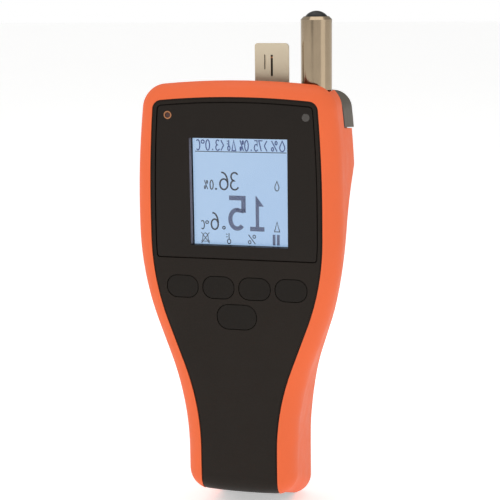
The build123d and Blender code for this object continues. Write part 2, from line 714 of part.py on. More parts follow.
with BuildPart() as humidity_sensor:
    add(block((PROBE_X - 4, PROBE_X + 4), (probe_y - 0.6, probe_y + 0.6), (PROBE_FOOT, 46)))
    add(block((PROBE_X - 1.5, PROBE_X + 1.5), (probe_y - 1.6, probe_y - 0.6), (40, 44)))
finish(humidity_sensor, "humidity_sensor")

with BuildPart() as probe_seal:
    add(post(PROBE_X, probe_y, PROBE_R + 0.75, (DECK_Z - 1.8, DECK_Z)))
    add(post(PROBE_X, probe_y, PROBE_R, (0, FAR)), mode=Mode.SUBTRACT)
finish(probe_seal, "probe_seal")

with BuildPart() as probe_clamp:
    add(block((24.5, 40.5), (at_depth(12.6), at_depth(23.5)), (10.0, 13.5)))
    add(post(PROBE_X, probe_y, PROBE_R, (0, FAR)), mode=Mode.SUBTRACT)
finish(probe_clamp, "probe_clamp")

blade_y = (at_depth(BLADE_DEPTH - BLADE_THICK / 2), at_depth(BLADE_DEPTH + BLADE_THICK / 2))

with BuildPart() as surface_blade:
    blade_x = (BLADE_X - BLADE_WIDTH / 2, BLADE_X + BLADE_WIDTH / 2)
    add(block(blade_x, blade_y, (BLADE_FOOT, BLADE_TOP)))
    crown_edges = surface_blade.edges().filter_by(Axis.Y).group_by(Axis.Z)[-1].sort_by(Axis.X)
    fillet(crown_edges[0], 1.2)
    crown_edges = surface_blade.edges().filter_by(Axis.Y).sort_by(Axis.X)[-2:].sort_by(Axis.Z)
    fillet(crown_edges[-1], 1.9)
    offset_x, foot, top = BLADE_SLOT
    slot_x = (BLADE_X + offset_x - 0.5, BLADE_X + offset_x + 0.5)
    add(block(slot_x, everything, (foot, top)), mode=Mode.SUBTRACT)
    offset_x, foot, top = BLADE_LINE
    line_x = (BLADE_X + offset_x - 0.2, BLADE_X + offset_x + 0.2)
    add(block(line_x, (blade_y[0] - 1, blade_y[0] + 0.35), (foot, top)), mode=Mode.SUBTRACT)
finish(surface_blade, "surface_blade")

with BuildPart() as temperature_bead:
    add(block(slot_x, (blade_y[0] + 0.1, blade_y[1] + 0.5), (39.3, 40.0)))
finish(temperature_bead, "temperature_bead")

with BuildPart() as blade_boot:
    boot_y = (blade_y[0] - 1.8, blade_y[1] + 1.8)
    add(block((blade_x[0] - 1.6, blade_x[1] + 1.6), boot_y, (DECK_Z, DECK_Z + 2.4)))
    fillet(blade_boot.edges().filter_by(Axis.Z), 1.2)
    add(block(blade_x, blade_y, everything), mode=Mode.SUBTRACT)
finish(blade_boot, "blade_boot")

with BuildPart() as blade_clamp:
    add(block((blade_x[0] - 2, blade_x[1] + 1.8), (blade_y[0] - 2.4, blade_y[1] + 4), (9.0, 13.5)))
    add(block(blade_x, blade_y, everything), mode=Mode.SUBTRACT)
finish(blade_clamp, "blade_clamp")

# ---------------------------------------------------------------- battery bay
cell_y = at_depth(CELL_DEPTH)
cell_top = CELL_FOOT + CELL_LENGTH

with BuildPart() as battery_tray:
    tray_z = (CELL_FOOT - 1.4, cell_top + 0.7)
    add(block((-BAY_HALF + 0.2, BAY_HALF - 0.2), (at_depth(16.5), at_depth(27)), tray_z))
    for x in (-CELL_X, CELL_X):
        add(post(x, cell_y, CELL_R + 0.15, (CELL_FOOT - 0.4, cell_top + 0.4)), mode=Mode.SUBTRACT)
finish(battery_tray, "battery_tray")

with BuildPart() as battery_contacts:
    for x in (-CELL_X, CELL_X):
        add(block((x - 4, x + 4), (at_depth(20), at_depth(29)), (cell_top, cell_top + 0.4)))
        add(block((x - 4, x + 4), (at_depth(20), at_depth(29)), (CELL_FOOT - 0.4, CELL_FOOT)))
finish(battery_contacts, "battery_contacts")


def make_cell(label, x, way):
    """An AA cell with its small terminal; way is 1 when the terminal points up."""
    middle = CELL_FOOT + CELL_LENGTH / 2
    end = middle + way * CELL_LENGTH / 2
    inner_end = end - way * 1.0
    with BuildPart() as cell:
        add(post(x, cell_y, CELL_R, tuple(sorted((middle - way * CELL_LENGTH / 2, inner_end)))))
        fillet(cell.edges().filter_by(GeomType.CIRCLE), 0.5)
        add(post(x, cell_y, 2.75, tuple(sorted((inner_end, end)))))
    finish(cell, label)


make_cell("battery_cell_1", -CELL_X, 1)
make_cell("battery_cell_2", CELL_X, -1)

cover_height = COVER_TOP - COVER_BOTTOM - 2 * COVER_GAP
cover_middle = (COVER_TOP + COVER_BOTTOM) / 2
cover_shape = rounded(2 * (COVER_HALF - COVER_GAP), cover_height, (0, cover_middle), 3.3)

with BuildPart() as battery_cover:
    add(slab(cover_shape, (25, DEPTH + 1)))
    add(face, mode=Mode.INTERSECT)
    add(core, mode=Mode.SUBTRACT)
    add(rod(0, COVER_SCREW_Z, 3.6, (DEPTH - 1.8, DEPTH + 1)), mode=Mode.SUBTRACT)
    add(rod(0, COVER_SCREW_Z, 1.55, (20, DEPTH + 1)), mode=Mode.SUBTRACT)
    for row in range(4):
        z = COVER_TOP - 7.0 - 2.6 * row
        add(slab(rounded(16, 1.2, (0, z), 0.55), (20, DEPTH + 1)) - grip_floor, mode=Mode.SUBTRACT)
finish(battery_cover, "battery_cover")

with BuildPart() as cover_screw:
    add(rod(0, COVER_SCREW_Z, 3.4, (DEPTH - 1.8, DEPTH - 0.4)))
    add(rod(0, COVER_SCREW_Z, 1.5, (DEPTH - 9.5, DEPTH - 1.8)))
    add(block((-2.8, 2.8), (at_depth(DEPTH - 1.0), FAR), (COVER_SCREW_Z - 0.5, COVER_SCREW_Z + 0.5)),
        mode=Mode.SUBTRACT)
finish(cover_screw, "cover_screw")

with BuildPart() as cover_insert:
    add(rod(0, COVER_SCREW_Z, 2.8, (DEPTH - 11, DEPTH - RUBBER)))
    add(rod(0, COVER_SCREW_Z, 1.55, (0, DEPTH)), mode=Mode.SUBTRACT)
finish(cover_insert, "cover_insert")

# ---------------------------------------------------------------- fastenings
with BuildPart() as tripod_insert:
    add(rod(0, 0, 5.5, (DEPTH - TRIPOD_LENGTH, DEPTH)))
    add(rod(0, 0, TRIPOD_R, (0, DEPTH + 1)), mode=Mode.SUBTRACT)
finish(tripod_insert, "tripod_insert")

with BuildPart() as magnets:
    for x, z in MAGNET_POINTS:
        add(rod(x, z, MAGNET_R, (DEPTH - SINK - MAGNET_THICK, DEPTH - SINK)))
finish(magnets, "magnets")

with BuildPart() as housing_screws:
    for x, z, seat in screw_points:
        add(rod(x, z, HEAD_R, (seat, seat + 2)))
        add(rod(x, z, SHANK_R, (5, seat)))
        add(block((x - 1.8, x + 1.8), (at_depth(seat + 1.2), at_depth(seat + 3)), (z - 0.4, z + 0.4)),
            mode=Mode.SUBTRACT)
        add(block((x - 0.4, x + 0.4), (at_depth(seat + 1.2), at_depth(seat + 3)), (z - 1.8, z + 1.8)),
            mode=Mode.SUBTRACT)
finish(housing_screws, "housing_screws")
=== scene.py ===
"""Looks of the handheld weather meter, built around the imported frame."""
import json
import math

import bmesh
import bpy
from mathutils import Matrix, Vector


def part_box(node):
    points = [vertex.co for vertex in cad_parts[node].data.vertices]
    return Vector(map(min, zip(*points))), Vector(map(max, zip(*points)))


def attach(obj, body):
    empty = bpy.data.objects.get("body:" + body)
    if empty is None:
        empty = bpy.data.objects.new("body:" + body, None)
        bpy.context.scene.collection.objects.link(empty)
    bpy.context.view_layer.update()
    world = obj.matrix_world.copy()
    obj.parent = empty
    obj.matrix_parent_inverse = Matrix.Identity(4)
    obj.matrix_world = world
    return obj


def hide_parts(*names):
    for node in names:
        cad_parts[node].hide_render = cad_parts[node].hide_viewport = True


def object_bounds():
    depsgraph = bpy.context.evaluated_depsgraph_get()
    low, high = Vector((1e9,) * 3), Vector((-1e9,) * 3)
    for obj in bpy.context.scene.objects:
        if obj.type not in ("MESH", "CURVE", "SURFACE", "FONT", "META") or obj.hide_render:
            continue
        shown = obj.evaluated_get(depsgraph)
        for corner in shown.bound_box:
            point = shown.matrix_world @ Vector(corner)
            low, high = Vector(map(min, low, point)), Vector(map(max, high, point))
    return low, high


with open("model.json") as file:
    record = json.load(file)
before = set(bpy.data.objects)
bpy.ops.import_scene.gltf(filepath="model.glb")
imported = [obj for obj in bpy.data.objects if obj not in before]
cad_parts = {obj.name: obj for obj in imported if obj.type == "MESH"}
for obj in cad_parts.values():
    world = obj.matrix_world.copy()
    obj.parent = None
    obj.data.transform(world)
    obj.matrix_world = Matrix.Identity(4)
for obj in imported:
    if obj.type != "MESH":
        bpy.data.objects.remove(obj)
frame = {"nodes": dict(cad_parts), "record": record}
cad_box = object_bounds()
NODES = frame["nodes"]
MM = 0.001


def linear(colour):
    """An sRGB colour of 0-255 values as linear RGBA."""
    shares = [c / 255 for c in colour]
    return [s / 12.92 if s <= 0.04045 else ((s + 0.055) / 1.055) ** 2.4 for s in shares] + [1.0]


# ------------------------------------------------------------ camera, light and floor
CAMERA_PLACE = Vector((0.1601, -0.6421, 0.0796))
CAMERA_FORWARD = Vector((-0.2436, 0.9486, -0.2019))
CAMERA_UP = Vector((-0.0376, 0.1988, 0.9793))
CAMERA_LENS = 98.22  # mm, on a sensor 36 mm wide


def make_camera():
    """The view that the meter was seen from: a little right of its front and above it."""
    forward = CAMERA_FORWARD.normalized()
    right = forward.cross(CAMERA_UP).normalized()
    up = right.cross(forward)
    data = bpy.data.cameras.new("camera")
    data.lens = CAMERA_LENS
    data.sensor_width = 36
    data.clip_start = 0.01
    camera = bpy.data.objects.new("camera", data)
    turn = Matrix((right, up, -forward)).transposed().to_4x4()
    camera.matrix_world = Matrix.Translation(CAMERA_PLACE) @ turn
    bpy.context.scene.collection.objects.link(camera)
    bpy.context.scene.camera = camera


def add_area(name, position, target, size, watts):
    """A soft white rectangular light aimed at a point."""
    data = bpy.data.lights.new(name, "AREA")
    data.shape = "RECTANGLE"
    data.size, data.size_y = size
    data.energy = watts
    lamp = bpy.data.objects.new(name, data)
    aim = (Vector(target) - Vector(position)).to_track_quat("-Z", "Y")
    lamp.matrix_world = Matrix.Translation(position) @ aim.to_matrix().to_4x4()
    bpy.context.scene.collection.objects.link(lamp)


ROOM = [  # brightness round the horizon, by degrees from straight in front of the meter towards +X
    (-180, 0.3), (-158, 0.5), (-120, 0.62), (-30, 0.7), (-27, 0.03), (-12, 0.03), (-8, 0.72),
    (40, 0.72), (100, 0.66), (180, 0.3),
]


def make_room():
    """A bright even room with one dark flag in front; the camera sees it as plain white."""
    world = bpy.data.worlds.new("studio")
    world.use_nodes = True
    tree = world.node_tree
    background = tree.nodes["Background"]
    direction = tree.nodes.new("ShaderNodeSeparateXYZ")
    tree.links.new(tree.nodes.new("ShaderNodeTexCoord").outputs["Generated"], direction.inputs[0])
    front = tree.nodes.new("ShaderNodeMath")
    front.operation = "MULTIPLY"
    front.inputs[1].default_value = -1.0
    tree.links.new(direction.outputs["Y"], front.inputs[0])
    azimuth = tree.nodes.new("ShaderNodeMath")
    azimuth.operation = "ARCTAN2"
    tree.links.new(direction.outputs["X"], azimuth.inputs[0])
    tree.links.new(front.outputs[0], azimuth.inputs[1])
    turn = tree.nodes.new("ShaderNodeMapRange")
    turn.inputs[1].default_value = -math.pi
    turn.inputs[2].default_value = math.pi
    tree.links.new(azimuth.outputs[0], turn.inputs[0])
    room = tree.nodes.new("ShaderNodeValToRGB")
    tree.links.new(turn.outputs[0], room.inputs[0])
    steps = room.color_ramp.elements
    while len(steps) < len(ROOM):
        steps.new(0.5)
    for step, (degrees, level) in zip(steps, ROOM):
        step.position = (degrees + 180) / 360
        step.color = (level, level, level * 0.99, 1)
    seen = tree.nodes.new("ShaderNodeMix")  # its sockets 6 and 7 take the two colours
    seen.data_type = "RGBA"
    tree.links.new(tree.nodes.new("ShaderNodeLightPath").outputs["Is Camera Ray"], seen.inputs[0])
    tree.links.new(room.outputs[0], seen.inputs[6])
    seen.inputs[7].default_value = (1, 1, 1, 1)
    tree.links.new(seen.outputs[2], background.inputs["Color"])
    bpy.context.scene.world = world


def make_lights():
    """A soft key light from the upper left in front, a fill from the right and a light from above."""
    add_area("key_light", (-0.7, -0.9, 0.9), (0, -0.02, -0.04), (1.1, 0.9), 5)
    add_area("fill_light", (1.1, -0.6, 0.3), (0, -0.02, -0.04), (0.8, 1.2), 1.6)
    add_area("top_light", (0.0, 0.2, 1.1), (0, -0.02, 0.0), (1.0, 0.8), 3)


make_camera()
make_room()
make_lights()
bpy.context.scene.view_settings.view_transform = "Standard"


# ------------------------------------------------------------ material building blocks
class Recipe:
    """A procedural material under construction: a principled surface and the nodes that feed it."""

    def __init__(self, name):
        self.material = bpy.data.materials.new(name)
        self.material.use_nodes = True
        self.tree = self.material.node_tree
        self.surface = self.tree.nodes["Principled BSDF"]
        self.place = self.tree.nodes.new("ShaderNodeTexCoord").outputs["Object"]
        self.height = None

    def node(self, kind, inputs=(), **settings):
        """A new node with its settings; inputs maps socket names or places to values or other sockets."""
        made = self.tree.nodes.new(kind)
        for key, value in settings.items():
            setattr(made, key, value)
        for key, value in dict(inputs).items():
            if isinstance(value, bpy.types.NodeSocket):
                self.tree.links.new(value, made.inputs[key])
            else:
                made.inputs[key].default_value = value
        return made

    def put(self, socket, value):
        """Feeds the surface's socket."""
        if isinstance(value, bpy.types.NodeSocket):
            self.tree.links.new(value, self.surface.inputs[socket])
        else:
            self.surface.inputs[socket].default_value = value

    def stretched(self, scale):
        """Object coordinates scaled along each axis, for grain that runs one way."""
        return self.node("ShaderNodeMapping", {"Vector": self.place, "Scale": scale}).outputs[0]

    def noise(self, size, detail=3.0, roughness=0.55, place=None):
        """Noise whose features are about `size` metres across."""
        inputs = {"Vector": place or self.place, "Scale": 1 / size}
        inputs.update({"Detail": detail, "Roughness": roughness})
        return self.node("ShaderNodeTexNoise", inputs).outputs["Fac"]

    def cells(self, size):
        """Distance to the nearest of scattered points about `size` metres apart."""
        inputs = {"Vector": self.place, "Scale": 1 / size}
        return self.node("ShaderNodeTexVoronoi", inputs).outputs["Distance"]

    def span(self, value, low, high, from_low=0.0, from_high=1.0):
        """Maps a value's range to low-high, clamped."""
        inputs = {0: value, 1: from_low, 2: from_high, 3: low, 4: high}
        return self.node("ShaderNodeMapRange", inputs).outputs[0]

    def sums(self, first, second, operation="ADD"):
        """The sum, product or other combination of two values."""
        return self.node("ShaderNodeMath", {0: first, 1: second}, operation=operation).outputs[0]

    def mix(self, share, first, second, blend="MIX"):
        """A colour between two others, which go to the node's sockets 6 and 7."""
        inputs = {0: share, 6: first, 7: second}
        return self.node("ShaderNodeMix", inputs, data_type="RGBA", blend_type=blend).outputs[2]

    def relief(self, value, depth):
        """Raises the surface by value times depth, in metres, on top of earlier relief."""
        inputs = {"Height": value, "Distance": depth, "Strength": 1.0}
        if self.height is not None:
            inputs["Normal"] = self.height
        self.height = self.node("ShaderNodeBump", inputs).outputs[0]
        self.put("Normal", self.height)


def tinted(recipe, colour, spread, share):
    """A colour with lighter and darker patches; share is a value of 0-1 that picks between them."""
    light = [min(1.0, c * (1 + spread)) for c in colour[:3]] + [1.0]
    dark = [c * (1 - spread) for c in colour[:3]] + [1.0]
    return recipe.mix(recipe.span(share, 0, 1, 0.3, 0.7), dark, light)


def moulded(name, colour, rough, grain=0.0006, depth=0.00004, spread=0.1, specular=0.5):
    """Moulded plastic or rubber: eroded grain, patchy gloss from handling and faint colour drift."""
    r = Recipe(name)
    fine = r.noise(grain, 4.0, 0.65)
    broad = r.noise(0.018, 3.0, 0.5)
    mottle = r.sums(r.span(fine, 0, 0.5), r.span(broad, 0, 0.5))
    r.put("Base Color", tinted(r, linear(colour), spread, mottle))
    smudge = r.noise(0.009, 5.0, 0.6)
    r.put("Roughness", r.span(smudge, rough - 0.07, rough + 0.07, 0.3, 0.7))
    r.put("Specular IOR Level", specular)
    r.relief(fine, depth)
    r.relief(r.cells(grain * 1.7), depth * 0.6)
    return r


def metal(name, colour, rough, run=(1, 1, 1), spread=0.12, depth=0.000004, grain=0.0004):
    """Worked metal whose fine marks run along the axis that `run` stretches them over."""
    r = Recipe(name)
    marks = r.noise(grain, 3.0, 0.6, r.stretched(run))
    cloud = r.noise(0.006, 3.0, 0.5, r.stretched([0.35 + 0.65 * s for s in run]))
    mottle = r.sums(r.span(marks, 0, 0.45), r.span(cloud, 0, 0.55))
    r.put("Base Color", tinted(r, linear(colour), spread, mottle))
    r.put("Metallic", 1.0)
    r.put("Roughness", r.span(marks, rough - 0.06, rough + 0.08, 0.3, 0.7))
    r.relief(marks, depth)
    return r


# ------------------------------------------------------------ finishes
def circuit_board():
    """Green solder mask over crossing copper tracks with pale pads."""
    r = Recipe("circuit_board_finish")
    layout = {"Vector": r.stretched((1, 0, 1)), "Scale": 240.0, "Mortar Size": 0.02}
    shades = {"Color1": (1, 1, 1, 1), "Color2": (0.7, 0.7, 0.7, 1), "Mortar": (0, 0, 0, 1)}
    tracks = r.node("ShaderNodeTexBrick", {**layout, **shades}).outputs["Color"]
    base = r.mix(r.noise(0.01), linear((14, 88, 48)), linear((20, 108, 60)))
    r.put("Base Color", r.mix(0.35, base, tracks, "MULTIPLY"))
    r.put("Roughness", r.span(r.noise(0.0015), 0.25, 0.4))
    r.relief(tracks, 0.00003)
    return r


def glass_window():
    """Thin clear acrylic: mirrors a little at glancing angles and lets the rest through."""
    r = Recipe("clear_window_finish")
    clear = r.node("ShaderNodeBsdfTransparent", {"Color": (0.97, 0.985, 1, 1)})
    haze = r.span(r.noise(0.012, 5.0), 0.02, 0.07)
    gloss = r.node("ShaderNodeBsdfGlossy", {"Color": (1, 1, 1, 1), "Roughness": haze})
    fresnel = r.node("ShaderNodeFresnel", {"IOR": 1.35})
    blend = r.node("ShaderNodeMixShader", {0: fresnel.outputs[0], 1: clear.outputs[0], 2: gloss.outputs[0]})
    output = r.tree.nodes["Material Output"]
    r.tree.links.new(blend.outputs[0], output.inputs["Surface"])
    return r


DOT_PITCH = 0.45 * MM  # between the display's dots


def lit_display():
    """A backlit display: pale blue glow, paler towards its top, with its fine grid of dots."""
    r = Recipe("lcd_finish")
    low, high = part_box("lcd_panel")
    split = r.node("ShaderNodeSeparateXYZ", {0: r.place})
    across = r.span(split.outputs["X"], 0, 1, low.x, high.x)
    up = r.span(split.outputs["Z"], 0, 1, low.z, high.z)
    left_glow = r.mix(across, linear((184, 212, 242)), linear((176, 206, 240)))
    glow = r.mix(r.span(up, 0, 0.6), left_glow, linear((190, 216, 244)))
    drift = r.mix(r.span(r.noise(0.02), 0, 0.25), glow, linear((164, 194, 230)))
    waves = []
    for axis in (split.outputs["X"], split.outputs["Z"]):
        phase = r.sums(axis, 2 * math.pi / DOT_PITCH, "MULTIPLY")
        waves.append(r.node("ShaderNodeMath", {0: phase}, operation="SINE").outputs[0])
    grid = r.span(r.sums(*waves), 0, 0.06, 0.4, 2.0)
    colour = r.mix(grid, drift, linear((120, 150, 200)))
    r.put("Base Color", (0.02, 0.03, 0.05, 1))
    r.put("Roughness", 0.3)
    r.put("Emission Color", colour)
    r.put("Emission Strength", 0.82)
    return r


BAND_START = 0.72  # share of a cell's length where its sleeve changes colour


def cell_sleeve():
    """A printed sleeve with a band of another colour at one end."""
    r = Recipe("cell_can_finish")
    split = r.node("ShaderNodeSeparateXYZ", {0: r.place})
    low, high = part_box("battery_cell_1")
    level = r.span(split.outputs["Z"], 0, 1, low.z, high.z)
    band = r.node("ShaderNodeMath", {0: level, 1: BAND_START}, operation="GREATER_THAN").outputs[0]
    sleeve = r.mix(band, linear((36, 40, 52)), linear((176, 120, 60)))
    r.put("Base Color", r.mix(r.span(r.noise(0.004), 0, 0.2), sleeve, linear((90, 90, 96))))
    r.put("Metallic", 0.5)
    r.put("Roughness", r.span(r.noise(0.003), 0.25, 0.4))
    r.relief(r.noise(0.0006), 0.00001)
    return r


BLADE_ROOT = 0.024  # height where the blade starts to turn paler


def blade_finish():
    """Bead-blasted nickel, paler towards its tip, with faint handling stains."""
    r = metal("blade_metal_finish", (206, 192, 166), 0.42, (1, 1, 1), 0.06, 0.000006, 0.00025)
    split = r.node("ShaderNodeSeparateXYZ", {0: r.place})
    tip_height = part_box("surface_blade")[1].z
    level = r.span(split.outputs["Z"], 0, 1, BLADE_ROOT, tip_height)
    stain = r.noise(0.004, 4.0)
    tip = r.mix(r.span(stain, 0, 0.3), linear((222, 209, 184)), linear((200, 186, 160)))
    r.put("Base Color", r.mix(level, linear((196, 180, 156)), tip))
    r.put("Metallic", 0.75)
    return r


def probe_finish():
    """Turned stainless tube: rings from turning, streaks along it and a little straw-coloured tarnish."""
    r = metal("stainless_finish", (166, 148, 124), 0.13, (1, 1, 0.04), 0.12, 0.000003, 0.0005)
    rings = r.noise(0.00025, 2.0, 0.5, r.stretched((0.02, 0.02, 1)))
    r.relief(rings, 0.0000015)
    return r


FINISHES = {
    "orange_rubber": moulded("orange_rubber_finish", (236, 107, 61), 0.55, 0.00045, 0.00003, 0.03, 0.2),
    "black_plastic": moulded("black_plastic_finish", (31, 24, 18), 0.5, 0.0005, 0.00004, 0.14, 0.18),
    "bezel_plastic": moulded("bezel_plastic_finish", (29, 23, 18), 0.44, 0.0005, 0.00002, 0.12, 0.18),
    "key_rubber": moulded("key_rubber_finish", (25, 20, 15), 0.5, 0.0004, 0.00003, 0.14, 0.17),
    "seal_rubber": moulded("seal_rubber_finish", (26, 25, 24), 0.7, 0.0005, 0.00005, 0.2, 0.3),
    "grey_plastic": moulded("grey_plastic_finish", (90, 83, 73), 0.55, 0.0005, 0.00004, 0.08, 0.2),
    "white_plastic": moulded("white_plastic_finish", (222, 222, 218), 0.5, 0.0008, 0.00002, 0.04, 0.4),
    "light_guide": moulded("light_guide_finish", (226, 234, 240), 0.15, 0.001, 0.00001, 0.03, 0.5),
    "chip_plastic": moulded("chip_plastic_finish", (36, 36, 36), 0.6, 0.0003, 0.00003, 0.12, 0.4),
    "lamp_red": moulded("lamp_red_finish", (58, 20, 12), 0.12, 0.0008, 0.00001, 0.1, 0.6),
    "smoked_lens": moulded("smoked_lens_finish", (60, 55, 50), 0.16, 0.0008, 0.00001, 0.1, 0.6),
    "sintered_filter": moulded("sintered_filter_finish", (9, 8, 6), 0.34, 0.0003, 0.00005, 0.3, 0.3),
    "polished_metal": metal("polished_metal_finish", (176, 122, 88), 0.2),
    "switch_metal": metal("switch_metal_finish", (200, 200, 196), 0.25),
    "screw_steel": metal("screw_steel_finish", (150, 150, 150), 0.32, grain=0.0002),
    "brass_insert": metal("brass_insert_finish", (206, 164, 92), 0.28, (1, 0.1, 1)),
    "magnet_steel": metal("magnet_steel_finish", (196, 196, 198), 0.2, (1, 0.1, 1)),
    "stainless": probe_finish(),
    "blade_metal": blade_finish(),
    "circuit_board": circuit_board(),
    "clear_window": glass_window(),
    "lcd": lit_display(),
    "cell_can": cell_sleeve(),
}

for part in frame["record"]["subparts"]:
    node = NODES[part["node"]]
    node.data.materials.clear()
    node.data.materials.append(FINISHES[part["material_slot"]].material)


# ------------------------------------------------------------ mesh helpers
def add_piece(name, bm, body, recipe):
    """Turns a bmesh in the row frame into a piece that rides on a body."""
    bmesh.ops.recalc_face_normals(bm, faces=bm.faces)
    mesh = bpy.data.meshes.new(name)
    bm.to_mesh(mesh)
    bm.free()
    mesh.materials.append(recipe.material)
    piece = bpy.data.objects.new(name, mesh)
    bpy.context.scene.collection.objects.link(piece)
    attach(piece, body)
    return piece


def bar(left, right, bottom, top):
    """A rectangle's corners, anticlockwise from its lower left."""
    return [(left, bottom), (right, bottom), (right, top), (left, top)]


def arc(centre, radii, start, end, steps=14):
    """Points on an ellipse from one angle to another, in degrees."""
    turns = [math.radians(start + (end - start) * i / steps) for i in range(steps + 1)]
    return [(centre[0] + radii[0] * math.cos(t), centre[1] + radii[1] * math.sin(t)) for t in turns]


def joined_side(points, index, closed):
    """The mitred sideways direction of a stroke at one of its points."""
    count = len(points)
    before = points[index - 1] if index or closed else points[index]
    after = points[(index + 1) % count] if index < count - 1 or closed else points[index]
    here = Vector(points[index])
    ways = [v.normalized() for v in (here - Vector(before), Vector(after) - here) if v.length > 1e-9]
    along = (ways[0] + ways[-1]).normalized()
    reach = 1 / max(0.5, along.dot(ways[0]))
    return Vector((-along.y, along.x)) * reach


def stroke(bm, points, width, depths, closed=False):
    """A flat line of the given width through points in the display's plane, all in metres."""
    sides = [joined_side(points, i, closed) * width / 2 for i in range(len(points))]
    rings = []
    for point, side in zip(points, sides):
        left, right = Vector(point) + side, Vector(point) - side
        corners = [(left, depths[0]), (right, depths[0]), (right, depths[1]), (left, depths[1])]
        rings.append([bm.verts.new((p.x, y, p.y)) for p, y in corners])
    count = len(rings)
    for i in range(count if closed else count - 1):
        here, there = rings[i], rings[(i + 1) % count]
        for k in range(4):
            bm.faces.new((here[k], here[(k + 1) % 4], there[(k + 1) % 4], there[k]))
    if not closed:
        bm.faces.new(rings[0])
        bm.faces.new(reversed(rings[-1]))


def plate(bm, points, depths):
    """A thin flat polygon in the display's plane."""
    front = [bm.verts.new((x, depths[0], z)) for x, z in points]
    back = [bm.verts.new((x, depths[1], z)) for x, z in points]
    bm.faces.new(front)
    bm.faces.new(reversed(back))
    for i in range(len(points)):
        k = (i + 1) % len(points)
        bm.faces.new((front[i], back[i], back[k], front[k]))


# ------------------------------------------------------------ what the display shows
BOWL = (0.5, 0.5)
GLYPHS = {  # strokes in a box of 1 by 1; True marks a closed line
    "0": [(arc(BOWL, BOWL, 0, 345, 22), True)],
    "1": [([(0.15, 0.8), (0.6, 1.0), (0.6, 0.0)], False)],
    "2": [(arc((0.5, 0.72), (0.45, 0.28), 170, -25) + [(0.04, 0.0), (1.0, 0.0)], False)],
    "3": [(arc((0.46, 0.76), (0.44, 0.24), 150, -85) + arc((0.46, 0.27), (0.5, 0.27), 80, -155), False)],
    "4": [([(0.75, 0.0), (0.75, 1.0), (0.05, 0.32), (1.0, 0.32)], False)],
    "5": [([(0.92, 1.0), (0.18, 1.0), (0.12, 0.52)] + arc((0.47, 0.32), (0.48, 0.32), 130, -150), False)],
    "6": [(arc((0.5, 0.31), (0.5, 0.31), 0, 340, 20), True),
          (arc((0.72, 0.36), (0.72, 0.64), 175, 82, 8), False)],
    "7": [([(0.0, 1.0), (1.0, 1.0), (0.35, 0.0)], False)],
    "8": [(arc((0.5, 0.76), (0.4, 0.24), 0, 340, 18), True),
          (arc((0.5, 0.27), (0.5, 0.27), 0, 340, 18), True)],
    ".": [([(0.5, 0.0), (0.5, 0.14)], False)],
    "%": [([(0.05, 0.0), (0.95, 1.0)], False), (arc((0.2, 0.8), (0.17, 0.17), 0, 330, 11), True),
          (arc((0.8, 0.2), (0.17, 0.17), 0, 330, 11), True)],
    "o": [(arc((0.5, 0.82), (0.4, 0.16), 0, 330, 11), True)],
    "C": [(arc(BOWL, BOWL, 48, 312, 16), False)],
    "<": [([(0.9, 1.0), (0.2, 0.5), (0.9, 0.0)], False)],
    ">": [([(0.1, 1.0), (0.8, 0.5), (0.1, 0.0)], False)],
    "drop": [([(0.5, 1.0)] + arc((0.5, 0.34), (0.42, 0.34), 150, 390, 14), True)],
    "peak": [([(0.5, 1.0), (0.0, 0.0), (1.0, 0.0)], True)],
    "stem": [([(0.5, 0.42), (0.5, 1.0)], False), (arc((0.5, 0.22), (0.3, 0.22), 0, 330, 11), True),
             ([(0.75, 0.9), (1.0, 0.9)], False), ([(0.75, 0.65), (1.0, 0.65)], False)],
    "bell": [([(0.0, 0.18), (0.16, 0.32)] + arc((0.5, 0.55), (0.33, 0.4), 180, 0, 10)
              + [(0.84, 0.32), (1.0, 0.18)], True),
             ([(0.0, 0.0), (1.0, 1.0)], False), ([(0.0, 1.0), (1.0, 0.0)], False)],
}
SCREEN = Vector((1.6, -21.05)) * MM  # centre of the display's opening, in the frame's X and Z
panel_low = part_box("lcd_panel")[0]
PRINT_DEPTHS = (panel_low.y - 0.12 * MM, panel_low.y - 0.04 * MM)
SIGN_MARGIN = 0.12  # share of its place that a sign leaves free on each side


def on_screen(points):
    """Points in millimetres from the display's centre, in the frame's metres."""
    return [(SCREEN.x + x * MM, SCREEN.y + z * MM) for x, z in points]


def write(bm, signs, left, right, bottom, top, width):
    """Writes a row of signs that runs from right to left, in a box given in millimetres."""
    step = (right - left) / len(signs)
    for place, sign in enumerate(signs):
        start = right - step * (place + SIGN_MARGIN)
        reach = step * (1 - 2 * SIGN_MARGIN)
        for points, closed in GLYPHS[sign]:
            put = on_screen([(start - reach * x, bottom + (top - bottom) * z) for x, z in points])
            stroke(bm, put, width * MM, PRINT_DEPTHS, closed)


def ink(name, colour):
    """Darkened display dots: a little light still comes through, unevenly."""
    r = Recipe(name)
    r.put("Base Color", linear(colour))
    r.put("Roughness", r.span(r.noise(0.0008), 0.3, 0.5))
    leak = [c + 14 for c in colour]
    r.put("Emission Color", r.mix(r.noise(0.0006), linear(colour), linear(leak)))
    r.put("Emission Strength", 0.85)
    r.relief(r.noise(0.0003), 0.000005)
    return r


